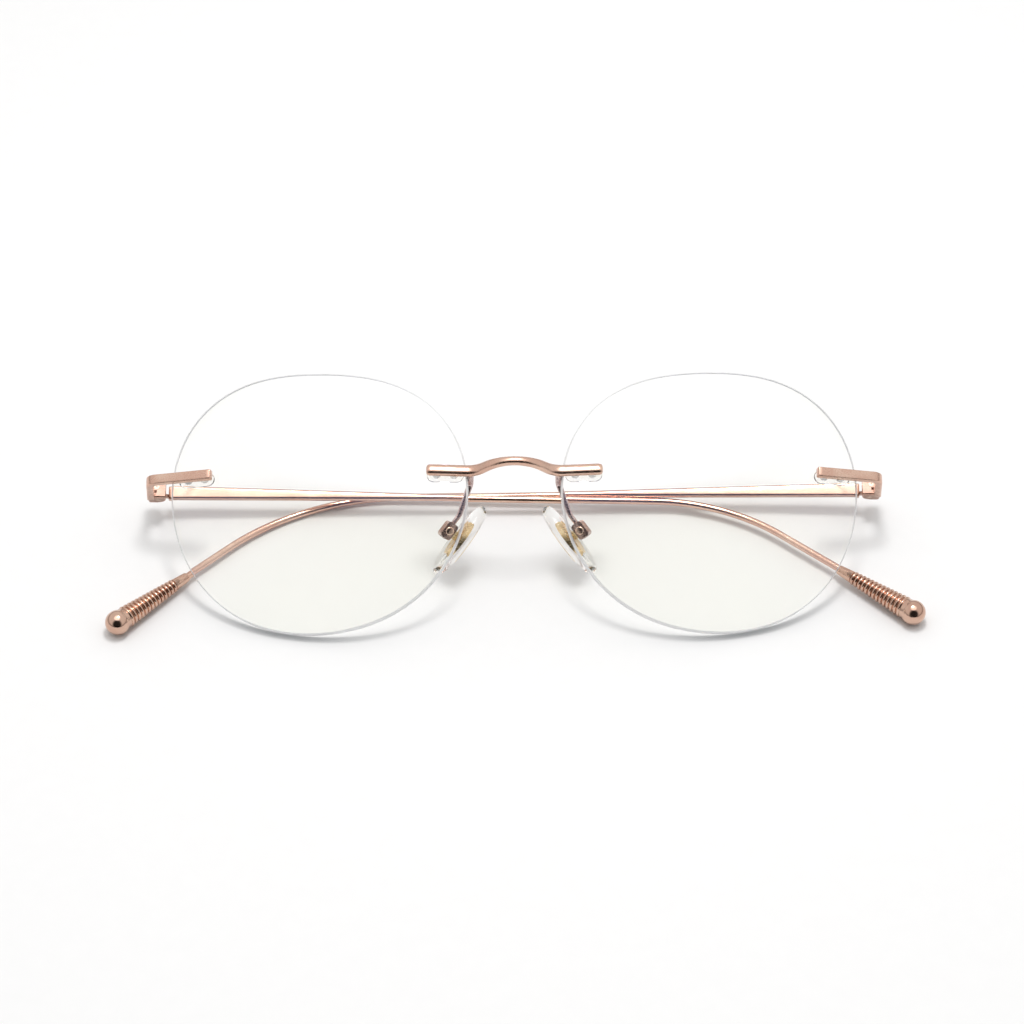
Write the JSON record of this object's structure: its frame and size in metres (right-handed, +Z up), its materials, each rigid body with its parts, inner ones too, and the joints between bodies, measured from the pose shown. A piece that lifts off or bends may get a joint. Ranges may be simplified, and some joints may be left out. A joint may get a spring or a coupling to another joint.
{
  "type": "rimless eyeglasses",
  "caption": "Rimless eyeglasses with drilled round lenses, an arched metal bridge, nose pads on screws and slim folding temples that end in ribbed ball tips.",
  "frame": {"origin": "middle of the folded glasses at table level", "axes": "+X towards the wearer's left side, across the face; +Y from the lens fronts towards the hinges, along the table; +Z up, away from the table"},
  "size_m": [0.1426, 0.0398, 0.0278],
  "materials": {
    "coated_lens": "polished with an anti-reflection coating",
    "clear_plastic": "clear moulded",
    "frame_metal": "rose gold plated, brushed",
    "wire_metal": "rose gold plated, satin",
    "hinge_metal": "rose gold plated, satin",
    "fitting_metal": "rose gold plated, polished",
    "screw_metal": "rose gold plated, polished",
    "temple_metal": "rose gold plated, polished",
    "tip_metal": "rose gold plated, turned and polished",
    "pad_silicone": "clear silicone",
    "core_metal": "gold plated"
  },
  "bodies": {
    "front": {"bridge": "frame_metal", "left_lens": "coated_lens", "right_lens": "coated_lens", "left_bridge_sleeve": "clear_plastic", "right_bridge_sleeve": "clear_plastic", "left_endpiece_sleeve": "clear_plastic", "right_endpiece_sleeve": "clear_plastic", "left_endpiece": "frame_metal", "right_endpiece": "frame_metal", "left_pad_arm": "wire_metal", "right_pad_arm": "wire_metal", "left_pad_box": "fitting_metal", "right_pad_box": "fitting_metal", "left_pad_screw": "screw_metal", "right_pad_screw": "screw_metal", "left_hinge_front": "hinge_metal", "right_hinge_front": "hinge_metal", "left_hinge_rivet": "screw_metal", "right_hinge_rivet": "screw_metal", "left_hinge_screw": "screw_metal", "right_hinge_screw": "screw_metal"},
    "left_temple_arm": {"left_temple": "temple_metal", "left_temple_tip": "tip_metal", "left_hinge_tongue": "hinge_metal"},
    "left_nose_rest": {"left_nose_pad": "pad_silicone", "left_pad_core": "core_metal"},
    "right_temple_arm": {"right_temple": "temple_metal", "right_temple_tip": "tip_metal", "right_hinge_tongue": "hinge_metal"},
    "right_nose_rest": {"right_nose_pad": "pad_silicone", "right_pad_core": "core_metal"}
  },
  "joints": [
    {"name": "left_temple_hinge", "type": "hinge", "parent": "front", "child": "left_temple_arm", "pos_m": [0.06332, 0.01108, 0.00586], "axis": [-0.0049, -0.898, -0.4399], "range_deg": [0, 93]},
    {"name": "right_temple_hinge", "type": "hinge", "parent": "front", "child": "right_temple_arm", "pos_m": [-0.0636, 0.01108, 0.00586], "axis": [0.0138, 0.8979, 0.4399], "range_deg": [0, 93]},
    {"name": "left_nose_pad_rock", "type": "hinge", "parent": "front", "child": "left_nose_rest", "pos_m": [0.01155, -0.00278, 0.0098], "axis": [0.2395, 0.7336, -0.6359], "range_deg": [-6, 6]},
    {"name": "right_nose_pad_rock", "type": "hinge", "parent": "front", "child": "right_nose_rest", "pos_m": [-0.01184, -0.00278, 0.0098], "axis": [-0.2395, 0.7336, -0.6359], "range_deg": [-6, 6]}
  ]
}
